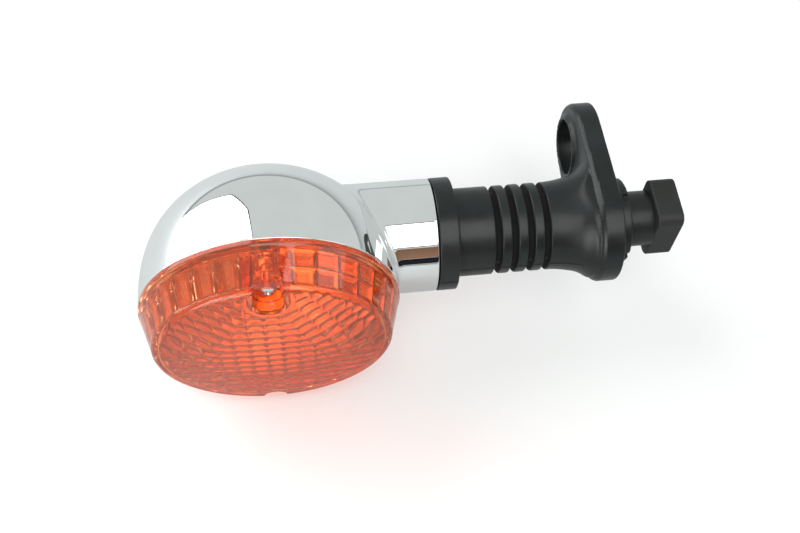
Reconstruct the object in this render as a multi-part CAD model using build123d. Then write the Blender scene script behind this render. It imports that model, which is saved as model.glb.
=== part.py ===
from build123d import *
import os
from math import cos, pi, radians, sin, sqrt

os.makedirs("parts", exist_ok=True)

# ---------------------------------------------------------------- dimensions
# Row frame, mm: +X runs along the stalk from the lamp to the vehicle, -Y is the way
# the lens faces, +Z is up.  The origin is on the stalk axis at the flange's seat face.
lamp_x = -117.5          # optical axis of the lamp

# housing
rim_r = 42.0             # outside radius of the housing rim and the lens lip
rim_y = -22.0            # plane where the housing ends and the lens begins
bowl_depth = 46.0        # rim plane to the back of the bowl
bowl_power = 2.5         # fullness of the bowl curve
wall = 2.2               # housing wall
ledge_y = -18.6          # front face of the inner ledge
ledge_t = 1.3
ledge_r = 36.9
rebate_r = 39.85         # socket the lens skirt drops into
neck_r = 19.0
neck_bore_r = 17.0
neck_end = 55.5          # end of the neck, measured from the lamp axis
neck_cap = 4.5           # thickness of the neck's end wall

# lens
lip_t = 2.6
lens_t = 2.0
face_r = 34.2            # flat-ish part of the face, inside the corner round
face_y = -37.8           # plane of the face edge
face_dome = 2.2          # how far the middle stands out beyond it
corner_r = 4.0
skirt_r = 39.5
screw_z = 30.7           # lens screw, above the optical axis
seat_y = -32.0           # floor of the screw well
mouth_r = 5.6
access_r = 4.6           # way for the driver, open through the lens edge
well_r = 3.9

# lens screw
shank_r = 1.45
head_r = 2.75
head_t = 2.1

# reflector and bulb
refl_r = 36.0
refl_back = 12.5         # Y of the reflector's lowest point
refl_t = 1.0
bulb_y = -4.0            # the bulb lies along X, this far in front of the neck axis
bulb_x = -2.0            # filament, from the lamp axis
glass_r = 12.6
glass_t = 0.8
base_r = 7.55
base_start, base_end = 15.5, 35.0
pin_x = 29.0             # bayonet pins
pin_r = 1.0
socket_r, socket_t = 7.62, 0.6
socket_start, socket_end = 21.0, 44.0

# stalk
collar_start, collar_end = 55.95, 62.4
collar_r = 19.1
stalk_r = 15.0
flex_start, flex_end = 73.6, 94.5
groove_first, groove_w, groove_pitch, groove_depth = 75.1, 2.0, 5.5, 1.9
flare_start = 94.5
plate_start = 109.6      # lamp-side face of the flange plate
plate_low_r = 18.9
plate_low_y = -1.8
ear_r = 17.4             # end of the flange plate round the ear
ear_end_y = 29.4
ear_y = 32.1             # axis of the ear's hole
ear_bore_r = 9.67
ear_rim = 108.2          # lamp-side lip of the ear's bore
boss_r, boss_t = 14.4, 4.2
stub_r = 9.5
block_start, block_end = 130.9, 139.9
block_round = 3.4
block_y, block_z = 18.4, 23.5
lead_r = 3.4             # way for the leads through the stalk
stem_end = 139.5         # mouth of the stem, just inside the end block's face
tube_r, tube_bore_r = 5.0, 3.2


# ------------------------------------------------------------------- helpers
def at(u, y=0.0, z=0.0):
    """A point given from the lamp axis along the stalk."""
    return (lamp_x + u, y, z)


def rod(u0, u1, r, y=0.0, z=0.0):
    """Cylinder along X from u0 to u1."""
    return Plane(origin=at(u0, y, z), z_dir=(1, 0, 0)) * Cylinder(
        r, u1 - u0, align=(Align.CENTER, Align.CENTER, Align.MIN))


def cone(u0, u1, r0, r1, y=0.0, z=0.0):
    """Cone along X."""
    return Plane(origin=at(u0, y, z), z_dir=(1, 0, 0)) * Cone(
        r0, r1, u1 - u0, align=(Align.CENTER, Align.CENTER, Align.MIN))


def post(y0, y1, r, u=0.0, z=0.0):
    """Cylinder along Y from y0 to y1."""
    return Plane(origin=at(u, y0, z), z_dir=(0, 1, 0)) * Cylinder(
        r, y1 - y0, align=(Align.CENTER, Align.CENTER, Align.MIN))


def block(u0, u1, y0, y1, z0, z1):
    return Pos(lamp_x + (u0 + u1) / 2, (y0 + y1) / 2, (z0 + z1) / 2) * Box(
        u1 - u0, y1 - y0, z1 - z0)


def turn_about_y(points):
    """Solid of revolution about the lamp's optical axis.  points are (radius, y)."""
    pts = [(lamp_x + r, y) for r, y in points]
    return revolve(make_face(Polyline(*pts, close=True)), Axis((lamp_x, 0, 0), (0, 1, 0)))


def turn_about_x(points, y=0.0):
    """Solid of revolution about an axis along X.  points are (u, radius)."""
    pts = [(lamp_x + u, y + r) for u, r in points]
    return revolve(make_face(Polyline(*pts, close=True)), Axis((0, y, 0), (1, 0, 0)))


def save(node, solid):
    solid.label = node
    export_step(solid, f"parts/{node}.step")


def bowl(r0, y0, depth, power):
    """Smooth closed bowl, open end at y0, as a solid of revolution."""
    steps = 14
    pts = []
    for i in range(steps + 1):
        s = sin(pi / 2 * i / steps)
        pts.append((lamp_x - r0 * sqrt(max(1 - s ** power, 0)), y0 + depth * s))
    with BuildLine() as line:
        Spline(*pts, tangents=[(0, 1), (1, 0)])
        Line(pts[-1], (lamp_x, y0))
        Line((lamp_x, y0), pts[0])
    return revolve(make_face(line.line), Axis((lamp_x, 0, 0), (0, 1, 0)))


# ------------------------------------------------------------------- housing
blend = turn_about_x([(10, 0), (10, neck_r + 1.8), (32, neck_r + 1.8), (34.5, neck_r + 1.4),
                      (37, neck_r + 0.7), (39.5, neck_r + 0.2), (42, neck_r), (42, 0)])
outer = bowl(rim_r, rim_y, bowl_depth, bowl_power) + rod(20, neck_end, neck_r)
outer += blend & post(rim_y, 60, 80)
inner = bowl(rim_r - wall, rim_y, bowl_depth - wall, bowl_power)
inner = inner + rod(10, neck_end - neck_cap, neck_bore_r)
tower = post(seat_y + 3.0, 8.0, 4.4, 0, screw_z)
pads = block(39.2, 46.0, -3.5, 3.5, 12.6, 17.6) + block(39.2, 46.0, -3.5, 3.5, -17.6, -12.6)
ledge = post(ledge_y, ledge_y + ledge_t, rim_r - 1) - post(ledge_y - 1, 0, ledge_r)
inside = bowl(rim_r - 0.8, rim_y, bowl_depth - 0.8, bowl_power)
housing = outer - inner
housing += tower & (inside + post(seat_y, rim_y, 4.4, 0, screw_z))
housing += pads & rod(30, neck_end, neck_r - 0.8)
housing += ledge
housing -= post(rim_y - 1, ledge_y, rebate_r) - post(rim_y - 2, 0, 4.4, 0, screw_z)
housing -= rod(neck_end - 5, neck_end + 1, tube_r + 0.15)
housing -= post(seat_y, -18.0, 2.6, 0, screw_z)
for side in (-1, 1):
    housing -= rod(38, 45, 1.3, 0, side * 14.6)
save("housing", housing)

save("screw_insert", post(seat_y + 3.0, -20.0, 2.6, 0, screw_z)
     - post(seat_y, -18, shank_r + 0.08, 0, screw_z))

# ---------------------------------------------------------- gasket, reflector
save("lens_gasket", post(-20.8, ledge_y - 0.8, skirt_r) - post(-22, -18, ledge_r))


def dish(offset):
    """Paraboloid through the reflector's rim, moved back by offset."""
    depth = refl_back - ledge_y
    pts = [(lamp_x + (refl_r + 0.8 * offset) * i / 8,
            refl_back + offset - (depth + offset) * (i / 8) ** 2) for i in range(9)]
    with BuildLine() as line:
        Spline(*pts)
        Line(pts[-1], (lamp_x, pts[-1][1]))
        Line((lamp_x, pts[-1][1]), pts[0])
    return revolve(make_face(line.line), Axis((lamp_x, 0, 0), (0, 1, 0)))


reflector = dish(refl_t) + post(ledge_y - 0.8, ledge_y, skirt_r)
reflector -= dish(0)
reflector -= post(ledge_y - 2, ledge_y + 0.01, refl_r)
reflector -= rod(10, 45, socket_r + socket_t + 0.9, bulb_y)
reflector -= post(-24, 20, 5.1, 0, screw_z)
save("reflector", reflector)

# ---------------------------------------------------------------------- bulb
neck_in = base_r - 1.0


def envelope(grow):
    """Bulb outline, as a solid; grow is negative for the inside."""
    tip = bulb_x - 1.0
    r = glass_r + grow
    pts = [(tip - r * cos(radians(a)), r * sin(radians(a))) for a in range(0, 100, 10)]
    pts += [(tip + 8.0, r - 2.3), (tip + 13.0, neck_in + 1.8 + grow), (base_start + 3.0, neck_in + grow)]
    pts = [(lamp_x + u, bulb_y + q) for u, q in pts]
    with BuildLine() as line:
        Spline(*pts, tangents=[(0, 1), (1, 0)])
        Line(pts[-1], (pts[-1][0], bulb_y))
        Line((pts[-1][0], bulb_y), pts[0])
    return revolve(make_face(line.line), Axis((0, bulb_y, 0), (1, 0, 0)))


save("bulb_glass", envelope(0) - envelope(-glass_t))

shell = turn_about_x([(base_start, neck_in + 0.05), (base_start, base_r), (base_end, base_r),
                      (base_end, base_r - 2.0), (base_end - 0.5, base_r - 2.0),
                      (base_end - 0.5, base_r - 0.5), (base_start + 3.2, base_r - 0.5),
                      (base_start + 3.2, neck_in + 0.05)], bulb_y)
for side in (-1, 1):
    shell += Plane(origin=at(pin_x, bulb_y, side * (base_r - 0.6)), z_dir=(0, 0, side)) * Cylinder(
        pin_r, 1.75, align=(Align.CENTER, Align.CENTER, Align.MIN))
save("bulb_base", shell)
save("bulb_insulator", turn_about_x([(base_end - 0.5, 0), (base_end - 0.5, base_r - 2.0),
                                     (base_end, base_r - 2.0), (base_end + 1.0, 3.0),
                                     (base_end + 1.0, 0)], bulb_y))
save("bulb_contact", turn_about_x([(base_end + 1.0, 0), (base_end + 1.0, 2.6), (base_end + 1.6, 2.1),
                                   (base_end + 2.0, 1.2), (base_end + 2.1, 0)], bulb_y))

stem = rod(9.0, base_start + 3.0, 2.6, bulb_y)
stem += rod(base_start + 1.5, base_start + 3.0, neck_in - glass_t, bulb_y)
leads = []
for side in (-1, 1):
    lead = Line(at(10.5, bulb_y, side * 1.4), at(bulb_x, bulb_y, side * 3.6))
    leads.append(sweep(Plane(origin=lead @ 0, z_dir=lead % 0) * Circle(0.35), path=lead))
    stem -= leads[-1]
save("filament_leads", Compound(leads))
save("bulb_stem", stem)
filament = Plane(origin=at(bulb_x - 0.55, bulb_y, -3.2), z_dir=(0, 0, 1)) * sweep(
    Plane(origin=(0.55, 0, 0), z_dir=(0, 1, 0)) * Circle(0.13), path=Helix(0.8, 6.4, 0.55))
save("bulb_filament", filament)

# -------------------------------------------------------------------- socket
socket = rod(socket_start, socket_end, socket_r + socket_t, bulb_y) - rod(
    socket_start - 1, socket_end + 1, socket_r, bulb_y)
slot_w = 2 * pin_r + 0.6
for side in (-1, 1):
    lock = block(pin_x - slot_w / 2, pin_x + 3.4, bulb_y - slot_w / 2, bulb_y + slot_w / 2, 5, 10)
    cross = block(pin_x + 3.4 - slot_w, pin_x + 3.4, bulb_y - slot_w / 2, bulb_y + 5.2, 4, 10)
    entry = block(socket_start - 1, pin_x + 3.4, bulb_y + 5.2 - slot_w, bulb_y + 5.2, 4, 10)
    cut = lock + cross + entry
    if side < 0:
        cut = Plane(origin=(0, bulb_y, 0), x_dir=(1, 0, 0), z_dir=(0, 0, -1)) * Pos(0, -bulb_y, 0) * cut
    socket -= cut
save("socket_shell", socket)

bracket = rod(38.0, 39.2, 11.6, bulb_y) + block(38.0, 39.2, -3.6, 3.6, -16.6, 16.6)
bracket -= rod(37, 40, socket_r + socket_t, bulb_y)
for side in (-1, 1):
    bracket -= rod(37, 40, 1.6, 0, side * 14.6)
save("socket_bracket", bracket)

screws = []
for side in (-1, 1):
    one = rod(39.2, 44.0, 1.25, 0, side * 14.6) + rod(36.4, 38.0, 2.2, 0, side * 14.6)
    one += rod(38.0, 39.2, 1.25, 0, side * 14.6)
    one -= block(36.0, 37.2, -0.35, 0.35, side * 14.6 - 1.5, side * 14.6 + 1.5)
    one -= block(36.0, 37.2, -1.5, 1.5, side * 14.6 - 0.35, side * 14.6 + 0.35)
    screws.append(one)
save("bracket_screws", Compound(screws))

save("socket_disc", rod(41.4, 43.2, socket_r, bulb_y) - rod(40, 46, 1.75, bulb_y))
head_at = base_end + 2.12
plunger = rod(head_at, head_at + 1, 3.2, bulb_y) + rod(head_at + 1, 43.6, 1.68, bulb_y)
save("contact_plunger", plunger)
coil_start, coil_end = head_at + 1.05, 41.35
coil = Plane(origin=at(coil_start + 0.3, bulb_y), z_dir=(1, 0, 0)) * sweep(
    Plane(origin=(2.5, 0, 0), z_dir=(0, 1, 0)) * Circle(0.25),
    path=Helix((coil_end - coil_start - 0.6) / 3, coil_end - coil_start - 0.6, 2.5))
save("contact_spring", coil)

# ---------------------------------------------------------------------- lens
inner_r = face_r + 1.2


def corner(r, y, radius):
    """Rounded corner of the lens, from the wall onto the face."""
    return [(r - radius + radius * cos(radians(a)), y + radius - radius * sin(radians(a)))
            for a in (0, 15, 30, 45, 60, 75, 90)]


def dome(r0, y0, rise):
    return [(r0 * k / 6, y0 - rise * (1 - (k / 6) ** 2)) for k in (5, 4, 3, 2, 1, 0)]


gap = 0.05
outside = [(0, rim_y - gap), (rim_r, rim_y - gap), (rim_r, rim_y - lip_t + 0.6)]
outside += corner(face_r + corner_r, face_y, corner_r) + dome(face_r, face_y, face_dome)
lens = turn_about_y(outside) + post(rim_y - 1, -20.85, skirt_r)
hollow = [(0, -20), (skirt_r - 2.3, -20), (skirt_r - 2.3, rim_y - lip_t)]
hollow += corner(inner_r, face_y + lens_t, 1.6) + dome(inner_r - 1.6, face_y + lens_t, face_dome)
cavity = turn_about_y(hollow)
boss = post(face_y - 1, seat_y + 2.2, 6.3, 0, screw_z) & turn_about_y(outside)
lens = (lens - cavity) + boss
lens -= Plane(origin=at(0, face_y - 3, screw_z), z_dir=(0, 1, 0)) * Cone(
    mouth_r + 0.4, well_r, seat_y - face_y + 1.4, align=(Align.CENTER, Align.CENTER, Align.MIN))
lens -= post(seat_y - 4, seat_y, well_r, 0, screw_z)
lens -= post(face_y - 4, seat_y - 3.0, access_r, 0, screw_z)
lens -= block(-access_r, access_r, face_y - 4, seat_y - 3.0, screw_z, screw_z + 14)
lens -= post(seat_y - 4, seat_y + 4, 1.8, 0, screw_z)
lens -= post(face_y - 4, rim_y - lip_t - 1.2, 4.0, -1.0, -(face_r + corner_r + 2.9))
save("lens", lens)

screw = post(seat_y - 0.05 - head_t, seat_y - 0.05, head_r, 0, screw_z)
top_edge = screw.edges().filter_by(GeomType.CIRCLE).sort_by(Axis.Y)[0]
screw = fillet(top_edge, 0.9)
screw += post(seat_y - 0.05, -20.6, shank_r, 0, screw_z)
for a in (0, 90):
    screw -= Plane(origin=at(0, seat_y - head_t + 0.55, screw_z), z_dir=(0, 1, 0)) * Rot(0, 0, a) * Box(
        3.2, 0.75, 1.4)
save("lens_screw", screw)

# --------------------------------------------------------------- rubber stalk
bore = rod(50, 134, lead_r)
tip_stud = rod(46.0, 66.0, tube_r) + rod(56.4, 58.2, 12.5) - rod(40, 70, tube_bore_r)
save("tip_stud", tip_stud)
save("stud_washer", rod(50.0, 51.0, 9.5) - rod(49, 52, tube_r + 0.1))
nut = Plane(origin=at(46.4), z_dir=(1, 0, 0)) * extrude(RegularPolygon(8.4, 6), 3.6) - rod(
    40, 51, tube_r)
save("stud_nut", nut)

tip = turn_about_x([(neck_end, 0), (neck_end, 17.6), (collar_start, 17.8), (collar_start, collar_r - 0.6),
                    (collar_start + 0.6, collar_r), (collar_end - 0.8, collar_r),
                    (collar_end, collar_r - 0.8), (collar_end + 0.2, stalk_r + 0.5),
                    (collar_end + 0.9, stalk_r), (flex_start, stalk_r), (flex_start, 0)])
tip = tip - bore - tip_stud
save("stalk_tip", tip)


def section(u0, u1):
    """Grooved length of the stalk from u0 to u1."""
    edge = stalk_r - 0.35
    points = [(u0, 0)]
    if u0 == flex_start:
        points.append((u0, stalk_r))
    for k in range(4):
        g = groove_first + k * groove_pitch
        if g < u0 - 0.01 or g + groove_w > u1 + 0.01:
            continue
        if g - 0.35 > u0:
            points.append((g - 0.35, stalk_r))
        points += [(g, edge), (g + 0.25, stalk_r - groove_depth),
                   (g + groove_w - 0.25, stalk_r - groove_depth), (g + groove_w, edge)]
        if g + groove_w + 0.35 < u1:
            points.append((g + groove_w + 0.35, stalk_r))
    if points[-1][0] < u1 - 0.01:
        points.append((u1, stalk_r))
    points.append((u1, 0))
    return turn_about_x(points) - bore


rib_start = groove_first + groove_pitch + groove_w
rib_end = groove_first + 2 * groove_pitch
save("stalk_flex_lamp", section(flex_start, rib_start))
save("stalk_rib", turn_about_x([(rib_start, 0), (rib_start, stalk_r - 0.35),
                                (rib_start + 0.35, stalk_r), (rib_end - 0.35, stalk_r),
                                (rib_end, stalk_r - 0.35), (rib_end, 0)]) - bore)
save("stalk_flex_root", section(rib_end, flex_end))


def outline(low_r, low_y, top_r, top_y, u0, u1):
    """Egg-shaped plate: the hull of two circles, along X."""
    sketch = make_hull((Pos(low_y, 0) * Circle(low_r) + Pos(top_y, 0) * Circle(top_r)).edges())
    return Plane(origin=at(u0), x_dir=(0, 1, 0), z_dir=(1, 0, 0)) * extrude(sketch, u1 - u0)


flare = turn_about_x([(flare_start, 0), (flare_start, stalk_r), (97, 15.1), (99.5, 15.5), (102, 16.0),
                      (104.5, 16.6), (107, 17.3), (plate_start, 17.8), (plate_start + 2, 17.8),
                      (plate_start + 2, 0)])
plate = outline(plate_low_r, plate_low_y, ear_r, ear_end_y, plate_start, 117.5)
plate = chamfer(plate.faces().sort_by(Axis.X)[0].edges(), 1.1)
sleeve = cone(ear_rim, 112.0, 11.0, 14.6, ear_y)
root = flare + plate + sleeve
root += rod(117.5, 117.5 + boss_t, boss_r) + rod(117.5, block_start, stub_r)
root -= rod(ear_rim - 1, 118.5, ear_bore_r, ear_y)
for k in range(4):
    a = radians(90 * k)
    notch = Pos(lamp_x + 117.5 + boss_t, boss_r * cos(a), boss_r * sin(a)) * Rot(90 * k, 0, 0) * Box(
        2.4, 3.0, 2.4)
    root -= notch
root_stem = rod(100.0, stem_end, tube_r) + rod(113.0, 115.0, 12.5) - rod(98, 142, tube_bore_r)
save("root_stem", root_stem)
root = root - bore - root_stem
save("stalk_root", root)

end = block(block_start, block_end, -block_y / 2, block_y / 2, -block_z / 2, block_z / 2)
end = fillet(end.edges().filter_by(Axis.X), block_round)
end = fillet(end.faces().filter_by(Axis.X).edges(), 0.6)
plate_in = block(134.4, 136.6, -6.8, 6.8, -9.2, 9.2) - rod(130, 142, tube_r)
save("end_plate", plate_in)
save("end_block", end - rod(130, 142, tube_r) - plate_in)
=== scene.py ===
import math

import bmesh
import bpy
import numpy as np
from mathutils import Matrix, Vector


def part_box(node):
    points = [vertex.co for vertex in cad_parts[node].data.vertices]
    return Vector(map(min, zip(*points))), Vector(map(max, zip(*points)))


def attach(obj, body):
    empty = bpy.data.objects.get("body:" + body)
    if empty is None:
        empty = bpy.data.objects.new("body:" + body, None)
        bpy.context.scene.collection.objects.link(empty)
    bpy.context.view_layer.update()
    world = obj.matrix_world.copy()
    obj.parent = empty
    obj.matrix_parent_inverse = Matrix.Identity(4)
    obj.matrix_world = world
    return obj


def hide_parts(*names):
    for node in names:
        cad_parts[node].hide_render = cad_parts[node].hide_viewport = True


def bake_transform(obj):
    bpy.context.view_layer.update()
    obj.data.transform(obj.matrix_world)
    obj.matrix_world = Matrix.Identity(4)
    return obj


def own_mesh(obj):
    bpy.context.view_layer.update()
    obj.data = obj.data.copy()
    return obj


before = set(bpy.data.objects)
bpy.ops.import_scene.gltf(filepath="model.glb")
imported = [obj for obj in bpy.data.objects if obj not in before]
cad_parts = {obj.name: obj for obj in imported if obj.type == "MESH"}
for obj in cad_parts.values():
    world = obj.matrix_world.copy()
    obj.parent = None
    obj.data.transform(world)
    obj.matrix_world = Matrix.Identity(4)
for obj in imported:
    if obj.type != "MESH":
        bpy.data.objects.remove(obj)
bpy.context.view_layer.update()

# Sizes in mm.  Lamp coordinates (u, y, z) start on the lamp's optical axis and u runs along the stalk.
MM = 0.001
LAMP_X = -117.5                                         # optical axis of the lamp in the row frame
RIM_R, RIM_Y, DEPTH, POWER = 42.0, -22.0, 46.0, 2.5     # bowl
REBATE_R, LEDGE_R, LEDGE_Y, LEDGE_T = 39.85, 36.9, -18.6, 1.3
NECK_R, NECK_ROOT, NECK_END, NECK_FILLET, CABLE_R = 19.0, 12.0, 55.5, 2.4, 5.15
TOWER_R, INSERT_R, TOWER_TOP = 4.4, 2.6, -29.0          # what the lens screw goes into
SCREW_Z, SEAT_Y = 30.7, -32.0                           # the screw's height, and where its head rests
STALK_R = 15.0


# ------------------------------------------------------------------ mesh tools
def to_row(p):
    """Points from lamp coordinates in mm to the row frame in metres."""
    p = np.asarray(p, float)
    return (p + np.array([LAMP_X, 0, 0])) * MM


def new_object(name, points, faces, material, smooth=True):
    """Mesh object from points in lamp coordinates."""
    mesh = bpy.data.meshes.new(name)
    mesh.from_pydata([tuple(q) for q in to_row(points)], [], [tuple(int(i) for i in f) for f in faces])
    mesh.validate()
    if smooth:
        mesh.shade_smooth()
    obj = bpy.data.objects.new(name, mesh)
    bpy.context.scene.collection.objects.link(obj)
    if material:
        mesh.materials.append(material)
    return obj


def sharpen(obj, degrees=35):
    """Smooth shading, with an edge wherever the surface turns by more than the angle."""
    obj.data.shade_smooth()
    obj.data.set_sharp_from_angle(angle=math.radians(degrees))


def join(parts, name):
    bpy.ops.object.select_all(action="DESELECT")
    for o in parts:
        o.select_set(True)
    bpy.context.view_layer.objects.active = parts[0]
    bpy.ops.object.join()
    parts[0].name = name
    return parts[0]


def apply_modifiers(obj):
    depsgraph = bpy.context.evaluated_depsgraph_get()
    mesh = bpy.data.meshes.new_from_object(obj.evaluated_get(depsgraph))
    old = obj.data
    obj.modifiers.clear()
    obj.data = mesh
    bpy.data.meshes.remove(old)


def boolean(obj, cutter, operation="DIFFERENCE"):
    """Cuts or adds one solid, which is used up."""
    m = obj.modifiers.new("cut", "BOOLEAN")
    m.operation, m.object, m.solver = operation, cutter, "EXACT"
    apply_modifiers(obj)
    mesh = cutter.data
    bpy.data.objects.remove(cutter)
    bpy.data.meshes.remove(mesh)


def band(row, following, cols):
    """Ring of quads between two rows of points."""
    return [(row * cols + j, row * cols + (j + 1) % cols,
             following * cols + (j + 1) % cols, following * cols + j) for j in range(cols)]


def grid_faces(rows, cols):
    """Quads of a rows x cols grid, wrapped round in the second direction."""
    return [face for i in range(rows - 1) for face in band(i, i + 1, cols)]


def soften(profile, radius=0.3, steps=4):
    """Rounds the corners of an open polyline."""
    pts = [np.array(q, float) for q in profile]
    out = [pts[0]]
    for a, b, c in zip(pts, pts[1:], pts[2:]):
        la, lc = np.linalg.norm(a - b), np.linalg.norm(c - b)
        cut = min(radius, 0.45 * la, 0.45 * lc)
        p, q = b + (a - b) / la * cut, b + (c - b) / lc * cut
        for t in np.linspace(0, 1, steps + 1):
            out.append((1 - t) ** 2 * p + 2 * t * (1 - t) * b + t * t * q)
    out.append(pts[-1])
    return [tuple(q) for q in out]


def refine(profile, step):
    """Adds points so that no span is longer than step."""
    out = [profile[0]]
    for a, b in zip(profile, profile[1:]):
        n = max(1, int(math.ceil(math.dist(a, b) / step)))
        out += [tuple(np.array(a) + (np.array(b) - np.array(a)) * k / n) for k in range(1, n + 1)]
    return out


def turned(profile, segments):
    """The angles of a turned piece, and both columns of its profile repeated at every angle."""
    a = np.linspace(0, 2 * np.pi, segments, endpoint=False)
    first = np.array([q[0] for q in profile])[:, None] + 0 * a[None]
    second = np.array([q[1] for q in profile])[:, None] + 0 * a[None]
    return a, first, second


def spin_x(name, profile, material, segments, y=0.0):
    """Turned piece about an axis along X.  profile is (u, radius)."""
    a, u, r = turned(profile, segments)
    pts = np.stack([u, y + r * np.cos(a), r * np.sin(a)], -1).reshape(-1, 3)
    return new_object(name, pts, grid_faces(len(profile), segments), material)


def spin_y(name, profile, material, segments, z=0.0, shape=None):
    """Turned piece about an axis along Y.  profile is (radius, y), which shape may alter."""
    a, r, y = turned(profile, segments)
    if shape is not None:
        r, y = shape(r, y, a[None] + 0 * r)
    pts = np.stack([r * np.cos(a), y, z + r * np.sin(a)], -1).reshape(-1, 3)
    return new_object(name, pts, grid_faces(len(profile), segments), material)


def nets(field, low, high, step):
    """Closed surface of field = 0, moved onto it exactly.  Returns points and quads."""
    axes = [np.arange(a, b + step, step) for a, b in zip(low, high)]
    g = np.stack(np.meshgrid(*axes, indexing="ij"), -1)
    shape = g.shape[:3]
    val = field(g.reshape(-1, 3)).reshape(shape)
    inside = val < 0
    corner = [(i, j, k) for i in (0, 1) for j in (0, 1) for k in (0, 1)]
    n = [s - 1 for s in shape]

    def part(a, c):
        return a[c[0]:c[0] + n[0], c[1]:c[1] + n[1], c[2]:c[2] + n[2]]
    count = sum(part(inside, c).astype(int) for c in corner)
    mixed = (count > 0) & (count < 8)
    ids = -np.ones(n, int)
    ids[mixed] = np.arange(mixed.sum())
    total, weight = np.zeros((mixed.sum(), 3)), np.zeros(mixed.sum())
    for c in corner:
        for d in range(3):
            if c[d]:
                continue
            e = list(c)
            e[d] = 1
            v0, v1 = part(val, c)[mixed], part(val, e)[mixed]
            p0, p1 = part(g, c)[mixed], part(g, e)[mixed]
            cross = (v0 < 0) != (v1 < 0)
            t = np.where(cross, v0 / np.where(cross, v0 - v1, 1), 0)
            total += np.where(cross[:, None], p0 + (p1 - p0) * t[:, None], 0)
            weight += cross
    points = total / weight[:, None]
    faces = []
    for d in range(3):
        a, b = [k for k in range(3) if k != d]
        first = inside[tuple(slice(0, -1) if k == d else slice(1, -1) for k in range(3))]
        second = inside[tuple(slice(1, None) if k == d else slice(1, -1) for k in range(3))]
        where = np.argwhere(first != second)
        flip = first[tuple(where.T)]
        where = where + np.array([0 if k == d else 1 for k in range(3)])
        quad = []
        for da, db in ((0, 0), (1, 0), (1, 1), (0, 1)):
            q = where.copy()
            q[:, a] -= da
            q[:, b] -= db
            quad.append(ids[tuple(q.T)])
        quad = np.stack(quad, 1)
        turned = flip if d != 1 else ~flip
        quad[~turned] = quad[~turned][:, ::-1]
        faces.append(quad)
    return settle(field, points), np.concatenate(faces)


def gradient(field, p, e=0.01):
    """Slope of a field along X, Y and Z."""
    return np.stack([(field(p + np.eye(3)[k] * e) - field(p - np.eye(3)[k] * e)) / (2 * e)
                     for k in range(3)], 1)


def settle(field, p, rounds=5):
    """Moves points along the slope until they lie on field = 0."""
    for _ in range(rounds):
        g = gradient(field, p)
        step = field(p) / np.maximum((g * g).sum(1), 0.05)
        p = p - np.clip(step, -0.6, 0.6)[:, None] * g
    return p


def trim(obj, point, normal):
    """Cuts away what lies on the normal's side of a plane given in lamp coordinates."""
    bm = bmesh.new()
    bm.from_mesh(obj.data)
    bmesh.ops.bisect_plane(bm, geom=bm.verts[:] + bm.edges[:] + bm.faces[:], dist=1e-7,
                           plane_co=to_row(point), plane_no=normal, clear_outer=True)
    bm.to_mesh(obj.data)
    bm.free()


def exact_normals(obj, field):
    """Shading normals straight from the surface's equation."""
    mesh = obj.data
    p = np.empty(len(mesh.vertices) * 3)
    mesh.vertices.foreach_get("co", p)
    p = p.reshape(-1, 3) / MM - np.array([LAMP_X, 0, 0])
    g = gradient(field, p)
    g /= np.linalg.norm(g, axis=1)[:, None]
    mesh.normals_split_custom_set_from_vertices([tuple(q) for q in g])


def fix_facing(obj):
    """Turns every face outward."""
    bm = bmesh.new()
    bm.from_mesh(obj.data)
    bmesh.ops.recalc_face_normals(bm, faces=bm.faces[:])
    bm.to_mesh(obj.data)
    bm.free()


# ------------------------------------------------------------------- materials
def node_material(name):
    """New material, its node tree and its main shader."""
    m = bpy.data.materials.new(name)
    m.use_nodes = True
    nt = m.node_tree
    return m, nt, nt.nodes["Principled BSDF"]


def noise_node(nt, scale, detail=4.0, rough=0.5):
    coord = nt.nodes.new("ShaderNodeTexCoord")
    tex = nt.nodes.new("ShaderNodeTexNoise")
    tex.inputs["Scale"].default_value = scale
    tex.inputs["Detail"].default_value = detail
    tex.inputs["Roughness"].default_value = rough
    nt.links.new(coord.outputs["Object"], tex.inputs["Vector"])
    return tex


def colour_from(nt, p, noise, *stops):
    """Two colours mixed by a noise.  Each stop is (position, colour)."""
    ramp = nt.nodes.new("ShaderNodeValToRGB")
    for element, (position, colour) in zip(ramp.color_ramp.elements, stops):
        element.position = position
        element.color = (*colour, 1)
    nt.links.new(noise.outputs["Fac"], ramp.inputs["Fac"])
    nt.links.new(ramp.outputs["Color"], p.inputs["Base Color"])


def roughness_from(nt, p, noise, low, high):
    """Roughness that follows the middle part of a noise."""
    span = nt.nodes.new("ShaderNodeMapRange")
    span.inputs["From Min"].default_value, span.inputs["From Max"].default_value = 0.3, 0.7
    span.inputs["To Min"].default_value, span.inputs["To Max"].default_value = low, high
    nt.links.new(noise.outputs["Fac"], span.inputs["Value"])
    nt.links.new(span.outputs["Result"], p.inputs["Roughness"])


def bump_from(nt, p, noise, strength, distance):
    """Relief of the given height in metres."""
    relief = nt.nodes.new("ShaderNodeBump")
    relief.inputs["Strength"].default_value = strength
    relief.inputs["Distance"].default_value = distance
    nt.links.new(noise.outputs["Fac"], relief.inputs["Height"])
    nt.links.new(relief.outputs["Normal"], p.inputs["Normal"])


def metal(name, base, rough, spread, scale, bump=0.0, tint=None):
    m, nt, p = node_material(name)
    p.inputs["Metallic"].default_value = 1.0
    fine = noise_node(nt, scale)
    tint = tint or tuple(c * 0.82 for c in base)
    colour_from(nt, p, noise_node(nt, 120), (0.35, tint), (0.65, base))
    roughness_from(nt, p, fine, rough - spread, rough + spread)
    if bump:
        bump_from(nt, p, fine, 0.25, bump)
    return m


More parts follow.
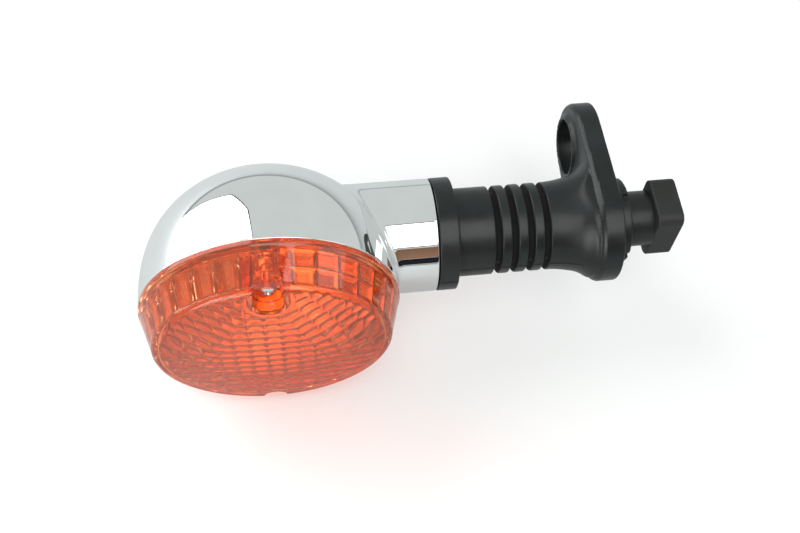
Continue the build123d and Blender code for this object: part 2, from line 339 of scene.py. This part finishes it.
def rubber(name, base, lighter, rough):
    m, nt, p = node_material(name)
    broad = noise_node(nt, 70, 6)
    colour_from(nt, p, broad, (0.35, base), (0.7, lighter))
    roughness_from(nt, p, broad, rough - 0.06, rough + 0.1)
    p.inputs["Specular IOR Level"].default_value = 0.34
    bump_from(nt, p, noise_node(nt, 2600, 3, 0.6), 0.35, 0.00006)
    return m


def plastic(name, base, other, rough):
    m, nt, p = node_material(name)
    grain = noise_node(nt, 400, 5)
    colour_from(nt, p, grain, (0.35, base), (0.65, other))
    roughness_from(nt, p, grain, rough - 0.05, rough + 0.05)
    bump_from(nt, p, grain, 0.3, 0.00003)
    return m


def show_to(nt, rays, usual, other):
    """Rays of the given kind meet the second shader and all others meet the first."""
    path = nt.nodes.new("ShaderNodeLightPath")
    mix = nt.nodes.new("ShaderNodeMixShader")
    nt.links.new(path.outputs[rays], mix.inputs["Fac"])
    nt.links.new(usual.outputs["BSDF"], mix.inputs[1])
    nt.links.new(other.outputs["BSDF"], mix.inputs[2])
    nt.links.new(mix.outputs["Shader"], nt.nodes["Material Output"].inputs["Surface"])


def tinted_shadow(nt, usual, colour):
    """Lets lights shine straight through with a tint, so that the inside is lit."""
    through = nt.nodes.new("ShaderNodeBsdfTransparent")
    through.inputs["Color"].default_value = (*colour, 1)
    show_to(nt, "Is Shadow Ray", usual, through)


def clear_glass(name, tint, rough):
    m, nt, p = node_material(name)
    p.inputs["Transmission Weight"].default_value = 1.0
    p.inputs["IOR"].default_value = 1.45
    broad = noise_node(nt, 60, 3)
    colour_from(nt, p, broad, (0.3, tint), (0.7, (1, 1, 1)))
    roughness_from(nt, p, broad, rough, rough + 0.02)
    tinted_shadow(nt, p, tint)
    return m


def amber_plastic():
    m, nt, p = node_material("amber_lens")
    p.inputs["Transmission Weight"].default_value = 0.94
    p.inputs["IOR"].default_value = 1.49
    p.inputs["Specular IOR Level"].default_value = 0.5
    p.inputs["Coat Weight"].default_value = 0.08
    p.inputs["Coat Roughness"].default_value = 0.03
    broad = noise_node(nt, 45, 5)
    colour_from(nt, p, broad, (0.35, (0.97, 0.31, 0.12)), (0.7, (0.99, 0.35, 0.15)))
    roughness_from(nt, p, noise_node(nt, 700, 3), 0.02, 0.07)
    bump_from(nt, p, broad, 0.12, 0.00012)
    tinted_shadow(nt, p, (0.97, 0.40, 0.18))
    return m


CHROME = metal("chrome", (0.90, 0.91, 0.91), 0.03, 0.012, 600, tint=(0.86, 0.88, 0.88))
AMBER = amber_plastic()
RUBBER = rubber("black_rubber", (0.006, 0.0078, 0.0078), (0.011, 0.0135, 0.0135), 0.31)
# Painted shade: a near-black rubber for the grooves' floors and flanks, standing in for the shade in
# these recesses.
GROOVE_SHADE = rubber("groove_painted_shade", (0.002, 0.002, 0.002), (0.003, 0.003, 0.003), 0.8)
BLOCK_RUBBER = rubber("block_rubber", (0.011, 0.012, 0.011), (0.019, 0.020, 0.019), 0.52)
GASKET = rubber("gasket_rubber", (0.03, 0.03, 0.03), (0.05, 0.05, 0.05), 0.7)
REFLECT = metal("reflector_plate", (0.88, 0.88, 0.88), 0.24, 0.05, 300, 0.00002, tint=(0.80, 0.80, 0.81))
BRASS = metal("brass", (0.83, 0.62, 0.27), 0.26, 0.07, 500, 0.00002)
STEEL = metal("zinc_steel", (0.62, 0.63, 0.65), 0.33, 0.08, 800, 0.00002)
SCREW = metal("screw_steel", (0.80, 0.80, 0.81), 0.17, 0.06, 900, 0.00001)
WIRE = metal("filament_wire", (0.42, 0.42, 0.45), 0.3, 0.08, 900)
SOLDER = metal("solder", (0.72, 0.72, 0.74), 0.34, 0.08, 400, 0.00005)
INSULATE = plastic("insulator", (0.05, 0.03, 0.022), (0.085, 0.055, 0.04), 0.5)
BULB = clear_glass("bulb_clear", (0.95, 0.97, 0.97), 0.0)
STEM = clear_glass("stem_clear", (0.88, 0.92, 0.93), 0.02)

CAD_LOOK = {
    "screw_insert": BRASS, "lens_gasket": GASKET, "reflector": REFLECT, "socket_shell": BRASS,
    "socket_bracket": STEEL, "bracket_screws": SCREW, "socket_disc": INSULATE, "contact_spring": STEEL,
    "contact_plunger": BRASS, "bulb_base": BRASS, "bulb_insulator": INSULATE, "bulb_contact": SOLDER,
    "bulb_stem": STEM, "filament_leads": WIRE, "bulb_filament": WIRE, "tip_stud": STEEL,
    "stud_washer": STEEL, "stud_nut": STEEL, "root_stem": STEEL, "end_plate": STEEL,
}
for node, look in CAD_LOOK.items():
    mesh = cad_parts[node].data
    mesh.materials.clear()
    mesh.materials.append(look)

# The coil would shorten by a little more than the plunger's 2 mm stroke, against the disc behind it;
# here the spring's box is only read and the spring gets a mesh of its own, left unchanged.
low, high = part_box("contact_spring")
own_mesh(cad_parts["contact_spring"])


# --------------------------------------------------------------------- housing
def blend_union(a, b, k):
    """Both shapes, with a fillet of about k between them."""
    h = np.clip(0.5 + 0.5 * (b - a) / k, 0, 1)
    return b * (1 - h) + a * h - k * h * (1 - h)


def bowl_field(p):
    """Distance to the bowl, whose radius falls with depth by the power POWER."""
    u, y, z = p.T
    r = np.hypot(u, z)
    s = np.maximum((y - RIM_Y) / DEPTH, 0)
    g = (r / RIM_R) ** 2 + s ** POWER - 1
    slope = np.hypot(2 * r / RIM_R ** 2, POWER * s ** (POWER - 1) / DEPTH)
    return g / np.maximum(slope, 1e-3)


def housing_field(p):
    """Bowl and neck.  The neck starts NECK_ROOT from the axis, inside the bowl."""
    neck = np.maximum(np.hypot(p[:, 1], p[:, 2]) - NECK_R, NECK_ROOT - p[:, 0])
    return blend_union(bowl_field(p), neck, NECK_FILLET)


points, quads = nets(housing_field, (-44, -25, -44), (60, 27, 44), 0.9)
skin = new_object("housing_skin", points, quads, CHROME)
trim(skin, (0, RIM_Y + 0.5, 0), (0, -1, 0))
trim(skin, (NECK_END - 0.7, 0, 0), (1, 0, 0))
fix_facing(skin)
exact_normals(skin, housing_field)
rim = spin_y("housing_rim", soften([
    (RIM_R, RIM_Y + 0.5), (RIM_R - 0.04, RIM_Y), (REBATE_R, RIM_Y), (REBATE_R, LEDGE_Y),
    (LEDGE_R, LEDGE_Y), (LEDGE_R, LEDGE_Y + LEDGE_T), (39.4, LEDGE_Y + LEDGE_T)], 0.35, 5), CHROME, 256)
end = spin_x("housing_end", soften([
    (NECK_END - 0.7, NECK_R), (NECK_END, NECK_R - 0.05), (NECK_END, CABLE_R),
    (NECK_END - 4.5, CABLE_R)], 0.4, 6), CHROME, 160)
tower = spin_y("housing_tower", soften([
    (TOWER_R, -2.0), (TOWER_R, TOWER_TOP), (INSERT_R, TOWER_TOP), (INSERT_R, -20.0)], 0.35, 4),
    CHROME, 64, SCREW_Z)
for part in (rim, end, tower):
    fix_facing(part)
    sharpen(part)
housing = join([skin, rim, end, tower], "housing_body")
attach(housing, "lamp")
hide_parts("housing")

# ------------------------------------------------------------------------ lens
FACE_R, FACE_Y, DOME, WALL = 36.0, -37.8, 2.2, 2.0      # the face bulges out from FACE_Y by DOME
CORNER = 2.2
INNER_R = 35.2                        # where the inside of the face turns into the wall
OUT_LOW, OUT_HIGH = (41.5, -24.6), (38.2, -35.6)        # (radius, y) of the outside wall's ends
IN_LOW, IN_HIGH = (37.2, -23.4), (36.0, -35.0)          # and of the fluted inside wall's ends
ROW, CELL, PILLOW = 3.9, 5.0, 0.62    # pillow optics: row height, cell width, depth
STAGGER = 0.37                        # shift of the cells from row to row where the rows rise
FAN_U, FAN_HALF = -2.0, 15.3          # the rows run straight within FAN_HALF of FAN_U, then rise
FAN_TAPER, FAN_LEAST = 0.39, 4.5      # that half length shrinks by FAN_TAPER per mm up to FAN_LEAST
RISE, RISE_FROM, RISE_MOST = 0.028, -8.0, 0.6           # slope gained per mm above z = RISE_FROM
PLAIN_R, PATTERN_R = 8.0, 35.0        # smooth round the screw, and outside PATTERN_R
FLUTES = 32
CELL_DEPTH, FLUTE_DEPTH, SINK = 0.9, 1.2, 0.1           # relief of the wall
POLE_T = 0.004                        # the face's points start at this fraction of its radius
N_FACE, N_CORNER, N_WALL = 150, 6, 56


def face_points(radius, y, count, start, stop):
    """Domed face between two fractions of its radius."""
    return [(radius * t, y - DOME * (1 - t * t)) for t in np.linspace(start, stop, count)]


def round_points(radius, y, c, count):
    """Quarter circle of radius c from the wall to the face."""
    return [(radius - c + c * math.cos(a), y + c - c * math.sin(a))
            for a in np.linspace(0, math.pi / 2, count)]


def between(a, b, fractions):
    return [(a[0] + (b[0] - a[0]) * t, a[1] + (b[1] - a[1]) * t) for t in fractions]


lip = [(39.5, -22.05), (RIM_R, -22.05), (RIM_R, -23.6), (41.66, -24.1), OUT_LOW]
skirt = [(37.2, -22.9), (37.2, -20.95), (37.3, -20.85), (39.4, -20.85), (39.5, -20.95)]
outer = soften(lip, 0.4, 4) + between(OUT_LOW, OUT_HIGH, np.linspace(0.05, 1, 12))
outer += round_points(FACE_R + CORNER, FACE_Y, CORNER, 12)[1:]
outer += face_points(FACE_R, FACE_Y, 70, 0.985, POLE_T)
inner = face_points(INNER_R, FACE_Y + WALL, N_FACE, POLE_T, 1.0)
inner += round_points(IN_HIGH[0], FACE_Y + WALL, IN_HIGH[0] - INNER_R, N_CORNER + 1)[::-1][1:]
inner += between(IN_HIGH, IN_LOW, np.linspace(0.02, 1, N_WALL)) + skirt
n_outer = len(outer)
profile = outer + inner


def bulge(t, power):
    """1 in the middle of 0..1 and 0 at both ends.  A higher power gives a flatter top."""
    return 1 - np.abs(2 * t - 1) ** power


def optics(r, y, a):
    """Rows of pillows on the inside of the face and flutes up the inside of the wall.

    The flutes are cut into two rows of cells on the stalk's side and run the full height on the other.
    """
    rows = np.arange(r.shape[0])[:, None] + 0 * a
    face = (rows >= n_outer) & (rows < n_outer + N_FACE)
    u, z = r * np.cos(a), r * np.sin(a)
    side = np.maximum(np.abs(u - FAN_U) - np.clip(FAN_HALF - FAN_TAPER * z, FAN_LEAST, FAN_HALF), 0)
    row = (z - np.clip(RISE * (z - RISE_FROM), 0, RISE_MOST) * side) / ROW
    level = np.floor(row)
    across = (u - FAN_U) / CELL + STAGGER * level * (side > 0)
    pillow = bulge(row - level, 2) * bulge(across - np.floor(across), 3)
    clear = (np.hypot(u, z - SCREW_Z) > PLAIN_R) & (r < PATTERN_R)
    y = y + np.where(face & clear, PILLOW * pillow, 0)
    start = n_outer + N_FACE + N_CORNER
    wall = (rows >= start) & (rows < start + N_WALL)
    flute = a / (2 * np.pi) * FLUTES
    flute = flute - np.floor(flute)
    high = np.clip((y - IN_HIGH[1]) / (IN_LOW[1] - IN_HIGH[1]), 0, 1)
    two = 2 * high - np.floor(2 * high * 0.9999)
    cell = bulge(flute, 5) * bulge(two, 5)
    tall = bulge(flute, 2.6) * bulge(high, 12)
    relief = np.where(np.cos(a) > 0.05, CELL_DEPTH * cell, FLUTE_DEPTH * tall) - SINK
    return r - np.where(wall, relief, 0), y


def revolved_solid(name, loop, split, segments, material, shape):
    """Closed solid: rows 0..split-1 end in one pole, rows split.. start from the other."""
    a, r, y = turned(loop, segments)
    r, y = shape(r, y, a[None] + 0 * r)
    pts = np.stack([r * np.cos(a), y, r * np.sin(a)], -1).reshape(-1, 3)
    rows = len(loop)
    faces = []
    for i in range(rows):
        if i != split - 1:
            faces += band(i, (i + 1) % rows, segments)
    for row in (split - 1, split):
        centre = len(pts)
        pts = np.vstack([pts, [0, y[row].mean(), 0]])
        faces += [(row * segments + j, row * segments + (j + 1) % segments, centre)
                  for j in range(segments)]
    obj = new_object(name, pts, faces, material)
    fix_facing(obj)
    return obj


def plug(name, loop, segments=96, u=0.0, z=SCREW_Z, stretch=0.0):
    """Closed turned cutter about Y; loop is (radius, y).  stretch draws its +Z half out."""
    rows = len(loop)
    a, r, y = turned(loop, segments)
    pts = np.stack([u + r * np.cos(a), y, z + r * np.sin(a) + stretch * (np.sin(a) > 0.02)], -1)
    faces = grid_faces(rows, segments)
    faces += [tuple(range(segments)), tuple((rows - 1) * segments + j for j in range(segments))]
    obj = new_object(name, pts.reshape(-1, 3), faces, None)
    fix_facing(obj)
    return obj


lens = revolved_solid("lens_body", profile, n_outer, 480, AMBER, optics)
boolean(lens, plug("boss", [(6.5, -37.0), (6.5, -24.2)]), "UNION")
boolean(lens, plug("well", [(4.05, -36.5), (4.05, -34.0), (3.9, SEAT_Y)]))
boolean(lens, plug("access", [(4.6, -41.5), (4.5, -34.8)], stretch=8.0))
boolean(lens, plug("shank_way", [(1.8, -33.0), (1.8, -28.0)], 48))
boolean(lens, plug("tower_way", [(5.0, -29.6), (5.0, -23.0)], 64))
boolean(lens, plug("drain", [(3.9, -41.0), (3.9, -34.5), (3.0, -32.0)], 64, u=-1.0, z=-36.6))
sharpen(lens, 32)
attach(lens, "lens")
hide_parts("lens")


# ------------------------------------------------------------------ lens screw
SHANK_R, PITCH, THREAD_DEPTH, THREAD_START = 1.45, 0.5, 0.17, -30.5
HEAD_TOP, HEAD_REST = -34.16, -32.05
RECESS_TOP, RECESS_DEPTH, RECESS_TURN = -34.9, 1.35, 0.3


def thread(r, y, a):
    """Cuts the thread's spiral into the shank."""
    turn = (y / PITCH + a / (2 * np.pi)) % 1.0
    cut = THREAD_DEPTH * np.abs(2 * turn - 1)
    return np.where((y > THREAD_START) & (r > SHANK_R - 0.05), r - cut, r), y


head = [(0.02, HEAD_TOP), (0.9, -34.14), (1.9, -33.95), (2.45, -33.6), (2.72, -33.0), (2.75, -32.1),
        (2.7, HEAD_REST), (SHANK_R, HEAD_REST), (SHANK_R, THREAD_START)]
shank = [(SHANK_R, y) for y in np.arange(-30.4, -20.9, 0.08)] + [(1.1, -20.6), (0.02, -20.6)]
screw = spin_y("lens_screw_body", head + shank, SCREW, 64, SCREW_Z, thread)
bm = bmesh.new()
bm.from_mesh(screw.data)
bmesh.ops.holes_fill(bm, edges=[e for e in bm.edges if e.is_boundary], sides=0)
bmesh.ops.recalc_face_normals(bm, faces=bm.faces[:])
bm.to_mesh(screw.data)
bm.free()
for quarter in (RECESS_TURN, RECESS_TURN + math.pi / 2):
    c, q = math.cos(quarter), math.sin(quarter)
    pts = []
    for long, wide, y in ((1.65, 0.38, RECESS_TOP), (0.55, 0.22, HEAD_TOP + RECESS_DEPTH)):
        for x, w in ((-long, -wide), (long, -wide), (long, wide), (-long, wide)):
            pts.append((x * c - w * q, y, SCREW_Z + x * q + w * c))
    cutter = new_object("cross", pts, [(0, 1, 2, 3), (4, 7, 6, 5), (0, 4, 5, 1), (1, 5, 6, 2),
                                       (2, 6, 7, 3), (3, 7, 4, 0)], None, False)
    fix_facing(cutter)
    boolean(screw, cutter)
sharpen(screw, 30)
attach(screw, "lens_screw")
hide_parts("lens_screw")

# -------------------------------------------------------------- rubber, lamp end
COLLAR_R, COLLAR_START, COLLAR_END = 19.1, 55.95, 62.4
G0, GW, GP, GD = 75.1, 2.3, 5.5, 2.3  # grooves: start of the first, width, pitch, depth
MESH_STEP = 0.6                       # longest span along the rubber, so that it bends smoothly


def groove(k):
    """Profile of the groove with number k."""
    g = G0 + k * GP
    return [(g, STALK_R), (g + 0.2, STALK_R - GD), (g + GW - 0.2, STALK_R - GD), (g + GW, STALK_R)]


def paint_groove_shade(obj):
    """Paints shade into the grooves: their floors and flanks get a darker, rougher rubber colour in
    place of the shade that falls there.
    """
    obj.data.materials.append(GROOVE_SHADE)
    for face in obj.data.polygons:
        c = face.center / MM
        along = c.x - LAMP_X - G0
        if -0.2 < along < 3 * GP + GW + 0.2 and math.hypot(c.y, c.z) < STALK_R - 0.55:
            face.material_index = 1


def bead(line, side):
    """The mould's parting line: a low ridge along the profile."""
    pts, faces = [], []
    for u, r in line:
        for w, h in ((-0.42, -0.06), (-0.16, 0.22), (0.1, 0.22), (0.3, -0.06)):
            pts.append((u, side * (r + h), w))
    for i in range(len(line) - 1):
        for j in range(3):
            faces.append((i * 4 + j, i * 4 + j + 1, i * 4 + 5 + j, i * 4 + 4 + j))
    return new_object("seam", pts, faces, RUBBER)


line = [(55.55, 5.2), (55.55, 17.7), (55.9, 17.8), (COLLAR_START, COLLAR_R), (COLLAR_END, COLLAR_R),
        (62.6, 15.3), (63.4, STALK_R)] + groove(0) + groove(1)[:3]
line = refine(soften(line, 0.4, 5), MESH_STEP)
near = spin_x("rubber_near", line, RUBBER, 160)
paint_groove_shade(near)
seams = [bead([q for q in line if q[0] > 56.0 and q[1] > 12], side) for side in (-1, 1)]
for o in [near] + seams:
    fix_facing(o)
    sharpen(o, 60)
near = join([near] + seams, "rubber_lamp_end")
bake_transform(near)
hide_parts("stalk_tip", "stalk_flex_lamp")


# ------------------------------------------------------------ rubber, mount end
FLARE_START, FLARE_LENGTH, FLARE_RISE = 94.5, 15.1, 2.9
PLATE_START, PLATE_END, LOW_R, LOW_Y, TOP_R, TOP_Y = 109.7, 117.5, 18.9, -1.8, 17.4, 29.4
EAR_Y, EAR_BORE, EAR_LIP = 32.1, 9.67, 10.9
BOSS_R, BOSS_END, NOTCH_START, NOTCH_HALF = 14.4, 121.7, 119.6, 1.2
STUB_R, STUB_END = 9.5, 136.0
RIBS_END, ROOT_END = 97.5, 131.1


def flare(u):
    """Radius of the stalk where it widens towards the plate."""
    t = np.clip((u - FLARE_START) / FLARE_LENGTH, 0, 1)
    return STALK_R + FLARE_RISE * t * t * (1.6 - 0.6 * t)


def smooth_cut(a, b, k):
    """The part of a that lies within b, with a rounded edge."""
    return -blend_union(-a, -b, k)


def egg(y, z):
    """Distance to the plate's outline, two circles and the straight lines that touch both."""
    h = TOP_Y - LOW_Y
    b = (LOW_R - TOP_R) / h
    a = math.sqrt(1 - b * b)
    q, v = np.abs(z), y - LOW_Y
    k = -b * q + a * v
    low = np.hypot(q, v) - LOW_R
    top = np.hypot(q, v - h) - TOP_R
    return np.where(k < 0, low, np.where(k > a * h, top, a * q + b * v - LOW_R))


def slab(flat, along, low, high, radius):
    """An outline drawn out from low to high, with rounded edges."""
    w0 = flat + radius
    w1 = np.abs(along - (low + high) / 2) - (high - low) / 2 + radius
    return np.minimum(np.maximum(w0, w1), 0) + np.hypot(np.maximum(w0, 0), np.maximum(w1, 0)) - radius


def root_field(p):
    """Flare, web, ear lip, plate, locating boss and round neck, less the ear's hole and notches."""
    u, y, z = p.T
    axis, ear, rim = np.hypot(y, z), np.hypot(y - EAR_Y, z), egg(y, z)
    stalk = np.maximum(axis - flare(u), u - 113)
    web = blend_union(stalk, slab(rim + 2.2, u, 110.4, 116.5, 0.5), 7.0)
    lip = slab(ear - EAR_LIP - 0.95 * np.maximum(u - 108.6, 0), u, 108.2, 113.5, 0.4)
    web = smooth_cut(blend_union(web, lip, 2.0), rim + 1.3, 0.6)
    plate = slab(rim + 0.5 * np.maximum(111.3 - u, 0), u, PLATE_START, PLATE_END, 0.7)
    d = blend_union(web, plate, 0.3)
    d = blend_union(d, slab(axis - BOSS_R, u, 115.0, BOSS_END, 0.5), 0.4)
    d = blend_union(d, slab(axis - STUB_R, u, 116.0, STUB_END, 0.3), 0.6)
    d = smooth_cut(d, EAR_BORE - ear, 0.7)
    for c, s in ((1, 0), (0, 1), (-1, 0), (0, -1)):
        r, w = y * c + z * s, -y * s + z * c
        flanks = np.maximum(np.abs(r - BOSS_R), np.abs(w)) - NOTCH_HALF
        d = smooth_cut(d, -np.maximum(flanks, NOTCH_START - u), 0.3)
    return d


points, quads = nets(root_field, (95.5, -22, -21), (134.5, 50, 21), 0.6)
root = new_object("rubber_root_body", points, quads, RUBBER)
trim(root, (RIBS_END, 0, 0), (-1, 0, 0))
trim(root, (ROOT_END, 0, 0), (1, 0, 0))
fix_facing(root)
exact_normals(root, root_field)
line = [(G0 + GP + GW - 0.2, STALK_R - GD), (G0 + GP + GW, STALK_R)] + groove(2) + groove(3)
line = soften(line + [(94.6, STALK_R)], 0.4, 5)
line += [(u, float(flare(u))) for u in np.linspace(94.8, RIBS_END, 7)]
line = refine(line, MESH_STEP)
ribs = spin_x("rubber_ribs", line, RUBBER, 160)
paint_groove_shade(ribs)
tail = [(u, float(flare(u))) for u in np.linspace(RIBS_END + 0.1, 108.6, 30)]
seams = [bead(line + tail, -1), bead(line, 1)]
for o in [ribs] + seams:
    fix_facing(o)
    sharpen(o, 60)
root = join([root, ribs] + seams, "rubber_mount_end")
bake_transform(root)
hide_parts("stalk_rib", "stalk_flex_root", "stalk_root")


BLOCK_START, BLOCK_END, BLOCK_Y, BLOCK_Z, BLOCK_ROUND = 130.9, 139.9, 9.2, 11.75, 3.4
TUBE_R = 5.05
REBATE_START, REBATE_Y, REBATE_Z = 139.55, 7.2, 9.7


def block_field(p):
    """Rounded block with the lead's bore and a shallow rebate in its end."""
    u, y, z = p.T
    q = np.stack([np.abs(y) - BLOCK_Y + BLOCK_ROUND, np.abs(z) - BLOCK_Z + BLOCK_ROUND], 1)
    outline = np.minimum(q.max(1), 0) + np.linalg.norm(np.maximum(q, 0), axis=1) - BLOCK_ROUND
    d = slab(outline, u, BLOCK_START, BLOCK_END, 0.6)
    d = smooth_cut(d, TUBE_R - np.hypot(y, z), 0.6)
    rebate = slab(np.maximum(np.abs(y) - REBATE_Y, np.abs(z) - REBATE_Z), u, REBATE_START, 141, 0.2)
    return smooth_cut(d, -rebate, 0.4)


points, quads = nets(block_field, (130.3, -10, -12.6), (140.6, 10, 12.6), 0.42)
block = new_object("end_block_body", points, quads, BLOCK_RUBBER)
fix_facing(block)
exact_normals(block, block_field)
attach(block, "mount")
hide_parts("end_block")

# ------------------------------------------------------------------------ bulb
BULB_U, BULB_Y, BULB_R, BULB_NECK, GLASS = -3.0, -4.0, 12.6, 6.55, 0.8
angles = np.linspace(0.01, 1.62, 30)
shape = [(BULB_U - BULB_R * math.cos(t), BULB_R * math.sin(t)) for t in angles]
control = [shape[-1], (3.4, 11.6), (7.6, 9.3), (11.4, 7.4), (15.0, 6.7), (18.5, BULB_NECK)]
knots = np.linspace(0, 1, len(control))
fit_u = np.polyfit(knots, [c[0] for c in control], 4)
fit_r = np.polyfit(knots, [c[1] for c in control], 4)
shape += [(float(np.polyval(fit_u, t)), float(np.polyval(fit_r, t))) for t in np.linspace(0.05, 1, 24)]
inside = BULB_R - GLASS
wall = [(BULB_U - inside * math.cos(t), inside * math.sin(t)) for t in angles]
wall += [(u, r - GLASS) for u, r in shape[len(angles):]]
bulb = spin_x("bulb_glass_body", shape + wall[::-1], BULB, 96, BULB_Y)
fix_facing(bulb)
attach(bulb, "bulb")
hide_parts("bulb_glass")

# ------------------------------------------------------------- floor and studio
# Metres from here on.
LAMP = np.array([LAMP_X * MM, 0, 0])
FLOOR_Z = -0.0424
FRAME_GAP = 0.004


def stage_mesh(name, points, faces, material):
    """Studio object, which isn't part of the piece."""
    mesh = bpy.data.meshes.new(name)
    mesh.from_pydata([tuple(q) for q in points], [], faces)
    mesh.materials.append(material)
    obj = bpy.data.objects.new(name, mesh)
    bpy.context.scene.collection.objects.link(obj)
    return obj


def stage_plane(name, centre, right, up, width, height, material):
    c, r, t = (np.array(v, float) for v in (centre, right, up))
    pts = [c - r * width / 2 - t * height / 2, c + r * width / 2 - t * height / 2,
           c + r * width / 2 + t * height / 2, c - r * width / 2 + t * height / 2]
    return stage_mesh(name, pts, [(0, 1, 2, 3)], material)


def plain(name, colour):
    m, nt, p = node_material(name)
    p.inputs["Base Color"].default_value = (*colour, 1)
    p.inputs["Roughness"].default_value = 0.9
    p.inputs["Specular IOR Level"].default_value = 0.2
    return m


# The floor is paler to the camera than to every other ray, so the chrome doesn't mirror a white floor.
floor_look = plain("floor_white", (0.46, 0.48, 0.48))
nt = floor_look.node_tree
pale = nt.nodes.new("ShaderNodeBsdfDiffuse")
pale.inputs["Color"].default_value = (0.79, 0.80, 0.80, 1)
show_to(nt, "Is Camera Ray", nt.nodes["Principled BSDF"], pale)
stage_plane("floor", (LAMP_X * MM + 0.05, 0, FLOOR_Z), (1, 0, 0), (0, 1, 0), 6, 6, floor_look)

dark = plain("studio_dark", (0.012, 0.011, 0.014))
brown = plain("studio_brown", (0.30, 0.16, 0.10))
glow = bpy.data.materials.new("softbox_glow")
glow.use_nodes = True
glow.node_tree.nodes.clear()
glow_shader = glow.node_tree.nodes.new("ShaderNodeEmission")
glow_shader.inputs["Strength"].default_value = 3.6
glow_output = glow.node_tree.nodes.new("ShaderNodeOutputMaterial")
glow.node_tree.links.new(glow_shader.outputs["Emission"], glow_output.inputs["Surface"])


def direction(az, el):
    """Unit vector from the lamp.  az turns from the front, and el rises from the level."""
    a, e = math.radians(az), math.radians(el)
    return np.array([math.sin(a) * math.cos(e), -math.cos(a) * math.cos(e), math.sin(e)])


def area(name, az, el, distance, width, height, energy):
    """Rectangular light aimed at the lamp."""
    data = bpy.data.lights.new(name, "AREA")
    data.shape, data.size, data.size_y = "RECTANGLE", width, height
    data.energy = energy
    obj = bpy.data.objects.new(name, data)
    z = direction(az, el)
    x = np.cross((0, 0, 1), z)
    x /= np.linalg.norm(x)
    y = np.cross(z, x)
    m = np.eye(4)
    m[:3, 0], m[:3, 1], m[:3, 2], m[:3, 3] = x, y, z, LAMP + z * distance
    obj.matrix_world = Matrix(m.tolist())
    bpy.context.scene.collection.objects.link(obj)
    return obj


def framed(name, az, el, distance, width, height, energy, edge):
    """Softbox with a thin dark frame, which the chrome shows."""
    obj = area(name, az, el, distance, width, height, energy)
    m = np.array(obj.matrix_world)
    x, y, c = m[:3, 0], m[:3, 1], m[:3, 3] - m[:3, 2] * FRAME_GAP
    out, over = (width + edge) / 2, (height + edge) / 2
    bars = [(0, over, width + 2 * edge, edge), (0, -over, width + 2 * edge, edge),
            (out, 0, edge, height), (-out, 0, edge, height)]
    for k, (across, along, w, h) in enumerate(bars):
        bar = stage_plane(f"{name}_bar_{k}", c + x * across + y * along, x, y, w, h, dark)
        bar.visible_camera = False


def shaped_light(name, corners, distance, edge):
    """Flat emitting panel whose corners lie in the given directions from the lamp, dark-edged."""
    rays = [direction(*c) for c in corners]
    middle = sum(rays) / np.linalg.norm(sum(rays))
    flat = [q / (q @ middle) * distance for q in rays]
    centre = sum(flat) / len(flat)
    rim = [q + (q - centre) / np.linalg.norm(q - centre) * edge for q in flat]
    for label, ring, inner, look in (("panel", flat, None, glow), ("frame", rim, flat, dark)):
        pts = [LAMP + q + (middle * FRAME_GAP if inner else 0) for q in ring]
        faces = [tuple(range(len(pts)))]
        if inner:
            pts += [LAMP + q + middle * FRAME_GAP for q in inner]
            faces = band(0, 1, len(ring))
        panel = stage_mesh(f"{name}_{label}", pts, faces, look)
        panel.visible_camera = False


LEFT_CORNERS = [(-121, -2), (-137, -2), (-161, 21), (-166, 42), (-162, 60), (-118, 62), (-100, 40),
                (-100, -2)]
shaped_light("softbox_left", LEFT_CORNERS, distance=0.9, edge=0.02)
area("softbox_face", az=-30, el=16, distance=0.8, width=0.6, height=0.5, energy=4.0)
framed("softbox_front", az=20, el=59, distance=1.1, width=0.86, height=0.86, energy=6.0, edge=0.03)
area("fill_right", az=80, el=35, distance=1.4, width=0.6, height=0.6, energy=1.5)

# Two upright cards in front of the piece, which the chrome shows below the softbox.
CARD_AZ, CARD_DISTANCE, CARD_WIDTH = 5, 1.2, 1.9
toward = direction(CARD_AZ, 0)
sideways = (math.cos(math.radians(CARD_AZ)), math.sin(math.radians(CARD_AZ)), 0)
for name, low, high, look in (("card_low", 0.0, 0.26, dark), ("card_high", 0.27, 0.8, brown)):
    centre = LAMP + toward * CARD_DISTANCE + np.array([0, 0, (low + high) / 2])
    card = stage_plane(name, centre, sideways, (0, 0, 1), CARD_WIDTH, high - low, look)
    card.visible_camera = False

world = bpy.data.worlds.new("studio") if bpy.context.scene.world is None else bpy.context.scene.world
bpy.context.scene.world = world
world.use_nodes = True
background = world.node_tree.nodes["Background"]
background.inputs["Color"].default_value = (0.86, 0.90, 0.88, 1)
background.inputs["Strength"].default_value = 0.74

camera_data = bpy.data.cameras.new("camera")
camera = bpy.data.objects.new("camera", camera_data)
bpy.context.scene.collection.objects.link(camera)
AZIMUTH, ELEVATION, ROLL, DISTANCE = -12.09, 60.06, -5.85, 0.3669
SIDE, LIFT = 0.04463, -0.00635        # from the lamp to the picture's centre
back = direction(AZIMUTH, ELEVATION)
right = np.array([math.cos(math.radians(AZIMUTH)), math.sin(math.radians(AZIMUTH)), 0])
up = np.cross(back, right)
c, s = math.cos(math.radians(ROLL)), math.sin(math.radians(ROLL))
right, up = c * right - s * up, s * right + c * up
place = np.eye(4)
place[:3, 0], place[:3, 1], place[:3, 2] = right, up, back
place[:3, 3] = LAMP + right * SIDE + up * LIFT + back * DISTANCE
camera.matrix_world = Matrix(place.tolist())
camera_data.sensor_width = 36
camera_data.lens = 49.4055
camera_data.clip_start = 0.01
bpy.context.scene.camera = camera
bpy.context.scene.view_settings.view_transform = "Standard"
